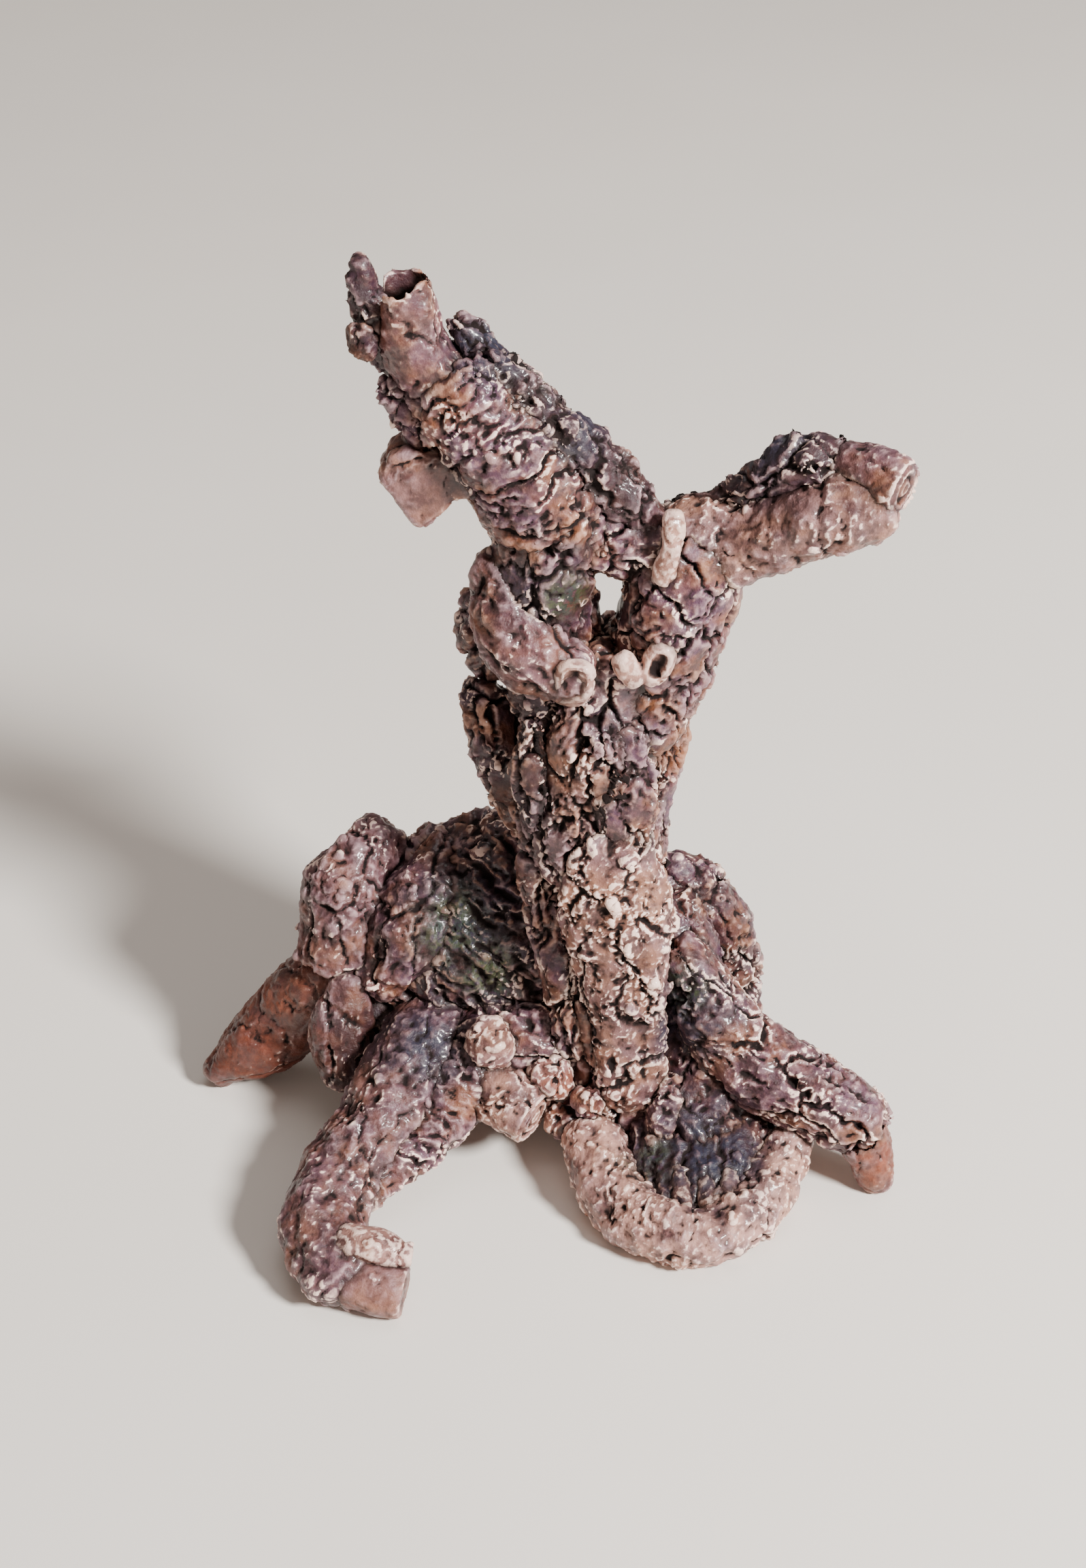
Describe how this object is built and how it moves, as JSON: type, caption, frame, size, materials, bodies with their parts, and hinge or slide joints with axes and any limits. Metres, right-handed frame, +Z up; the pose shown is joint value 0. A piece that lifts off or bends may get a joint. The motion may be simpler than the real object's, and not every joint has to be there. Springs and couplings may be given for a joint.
{
  "type": "clay tree ornament",
  "caption": "Small gnarled bare tree hand-built from rolled clay, with two cut limbs, a see-through fork and spreading roots it stands on.",
  "frame": {"origin": "middle of the bounding box's footprint, on the plane the roots stand on", "axes": "+Z up the trunk, the tree's front faces -Y, the long limb leans towards -X and the short limb points to +X"},
  "size_m": [0.0865, 0.0679, 0.1147],
  "materials": {
    "bark_clay": "painted and dry-brushed, satin varnish",
    "smooth_clay": "smoothed and painted, satin varnish",
    "mossy_clay": "dark wash with moss-green paint, matt",
    "wire": "soft drawn wire",
    "tape": "paper masking tape"
  },
  "bodies": {
    "root": {"armature_left_wire": "wire", "armature_right_wire": "wire", "armature_tape": "tape", "back_left_root": "bark_clay", "back_right_root": "bark_clay", "burl_inner": "bark_clay", "burl_outer": "bark_clay", "collar_end": "bark_clay", "foot_pads": "bark_clay", "fork_bridge": "bark_clay", "fork_curl": "bark_clay", "fork_pellets": "bark_clay", "front_left_root": "bark_clay", "front_left_tip": "smooth_clay", "front_spur": "bark_clay", "front_web": "mossy_clay", "left_limb": "bark_clay", "left_root": "smooth_clay", "left_root_flap": "bark_clay", "left_stem": "bark_clay", "left_web": "mossy_clay", "limb_crest": "bark_clay", "limb_left_bark": "bark_clay", "limb_paddle": "smooth_clay", "limb_tip": "smooth_clay", "lower_shelf": "bark_clay", "middle_root": "bark_clay", "right_limb": "smooth_clay", "right_limb_crest": "bark_clay", "right_limb_end": "bark_clay", "right_root": "bark_clay", "right_root_tip": "smooth_clay", "right_stem": "bark_clay", "right_web": "mossy_clay", "root_knots": "bark_clay", "stem_collar": "bark_clay", "tip_blade": "bark_clay", "tip_flap": "bark_clay", "tip_knuckle": "bark_clay", "toe_loop": "bark_clay", "toe_ribs": "mossy_clay", "toe_web": "mossy_clay", "trunk_back_plate": "bark_clay", "trunk_core": "bark_clay", "trunk_front_plate": "bark_clay", "trunk_left_plate": "bark_clay", "trunk_left_strip": "bark_clay", "trunk_right_plate": "bark_clay", "trunk_upper_plate": "bark_clay", "upper_shelf": "bark_clay"}
  },
  "joints": []
}
